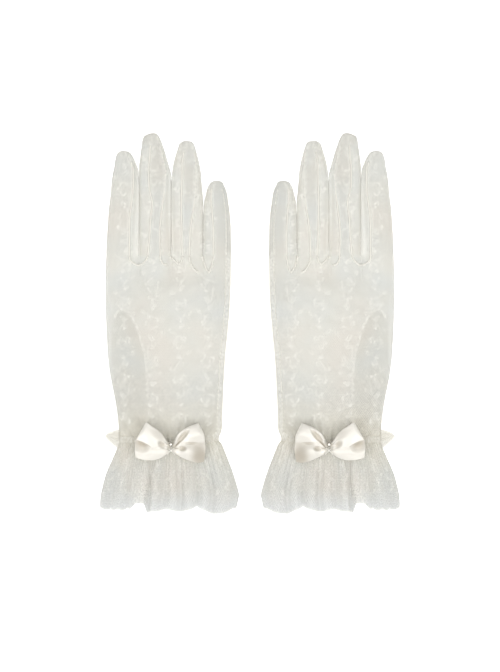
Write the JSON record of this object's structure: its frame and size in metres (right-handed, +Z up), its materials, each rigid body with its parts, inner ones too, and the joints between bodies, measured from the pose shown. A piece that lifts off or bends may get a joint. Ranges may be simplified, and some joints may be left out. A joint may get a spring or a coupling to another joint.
{
  "type": "lace wedding gloves",
  "caption": "Pair of short sheer lace bridal gloves with gathered wrist frills and satin bows, lying flat with the palms down.",
  "frame": {"origin": "the middle of the pair on the table, half way between the frills' hems and the middle fingertips", "axes": "+Y from the frills to the fingertips, +Z up from the table through the backs of the gloves, +X from the right-hand glove to the left-hand one"},
  "size_m": [0.188, 0.2401, 0.0202],
  "materials": {
    "lace": "sheer ivory nylon lace on a fine net",
    "seam_thread": "matte ivory sewing thread",
    "wrist_elastic": "covered elastic cord",
    "satin_ribbon": "glossy ivory polyester satin",
    "pearl": "pearlised bead",
    "clear_bead": "clear faceted seed bead"
  },
  "bodies": {
    "right_hand": {"right_hand_trank": "lace", "right_side_seam": "seam_thread", "right_wrist_elastic": "wrist_elastic", "right_cuff_frill": "lace", "right_wrist_tuft": "lace"},
    "right_index": {"right_index_stall": "lace", "right_index_fourchette_inner": "lace"},
    "right_middle": {"right_middle_stall": "lace", "right_middle_fourchette_outer": "lace", "right_middle_fourchette_inner": "lace"},
    "right_ring": {"right_ring_stall": "lace", "right_ring_fourchette_outer": "lace", "right_ring_fourchette_inner": "lace"},
    "right_little": {"right_little_stall": "lace", "right_little_fourchette_outer": "lace", "right_little_side_seam": "seam_thread"},
    "right_thumb": {"right_thumb_stall": "lace"},
    "right_bow": {"right_bow_loop_outer": "satin_ribbon", "right_bow_loop_inner": "satin_ribbon", "right_bow_knot": "satin_ribbon", "right_bow_pearl": "pearl", "right_bow_seed_bead": "clear_bead"},
    "left_hand": {"left_hand_trank": "lace", "left_side_seam": "seam_thread", "left_wrist_elastic": "wrist_elastic", "left_cuff_frill": "lace", "left_wrist_tuft": "lace"},
    "left_index": {"left_index_stall": "lace", "left_index_fourchette_inner": "lace"},
    "left_middle": {"left_middle_stall": "lace", "left_middle_fourchette_outer": "lace", "left_middle_fourchette_inner": "lace"},
    "left_ring": {"left_ring_stall": "lace", "left_ring_fourchette_outer": "lace", "left_ring_fourchette_inner": "lace"},
    "left_little": {"left_little_stall": "lace", "left_little_fourchette_outer": "lace", "left_little_side_seam": "seam_thread"},
    "left_thumb": {"left_thumb_stall": "lace"},
    "left_bow": {"left_bow_loop_outer": "satin_ribbon", "left_bow_loop_inner": "satin_ribbon", "left_bow_knot": "satin_ribbon", "left_bow_pearl": "pearl", "left_bow_seed_bead": "clear_bead"}
  },
  "joints": [
    {"name": "right_index_fold", "type": "hinge", "parent": "right_hand", "child": "right_index", "pos_m": [-0.0798, 0.04983, 0.0048], "axis": [1, 0, 0], "range_deg": [0, 90]},
    {"name": "right_middle_fold", "type": "hinge", "parent": "right_hand", "child": "right_middle", "pos_m": [-0.0595, 0.04983, 0.0048], "axis": [1, 0, 0], "range_deg": [0, 90]},
    {"name": "right_ring_fold", "type": "hinge", "parent": "right_hand", "child": "right_ring", "pos_m": [-0.0393, 0.04983, 0.0048], "axis": [1, 0, 0], "range_deg": [0, 90]},
    {"name": "right_little_fold", "type": "hinge", "parent": "right_hand", "child": "right_little", "pos_m": [-0.0208, 0.04983, 0.0048], "axis": [1, 0, 0], "range_deg": [0, 90]},
    {"name": "right_thumb_swing", "type": "hinge", "parent": "right_hand", "child": "right_thumb", "pos_m": [-0.0755, -0.057, 0], "axis": [0, 0, 1], "range_deg": [0, 50]},
    {"name": "right_bow_swivel", "type": "hinge", "parent": "right_hand", "child": "right_bow", "pos_m": [-0.0492, -0.0778, 0.0141], "axis": [0, 0, 1], "range_deg": [-15, 15]},
    {"name": "left_index_fold", "type": "hinge", "parent": "left_hand", "child": "left_index", "pos_m": [0.0798, 0.04983, 0.0048], "axis": [1, 0, 0], "range_deg": [0, 90]},
    {"name": "left_middle_fold", "type": "hinge", "parent": "left_hand", "child": "left_middle", "pos_m": [0.0595, 0.04983, 0.0048], "axis": [1, 0, 0], "range_deg": [0, 90]},
    {"name": "left_ring_fold", "type": "hinge", "parent": "left_hand", "child": "left_ring", "pos_m": [0.0393, 0.04983, 0.0048], "axis": [1, 0, 0], "range_deg": [0, 90]},
    {"name": "left_little_fold", "type": "hinge", "parent": "left_hand", "child": "left_little", "pos_m": [0.0208, 0.04983, 0.0048], "axis": [1, 0, 0], "range_deg": [0, 90]},
    {"name": "left_thumb_swing", "type": "hinge", "parent": "left_hand", "child": "left_thumb", "pos_m": [0.0755, -0.057, 0], "axis": [0, 0, -1], "range_deg": [0, 50]},
    {"name": "left_bow_swivel", "type": "hinge", "parent": "left_hand", "child": "left_bow", "pos_m": [0.0492, -0.0778, 0.0141], "axis": [0, 0, 1], "range_deg": [-15, 15]},
    {"name": "left_glove_slide", "type": "slide", "parent": "right_hand", "child": "left_hand", "axis": [1, 0, 0], "range_m": [0, 0.15]}
  ]
}
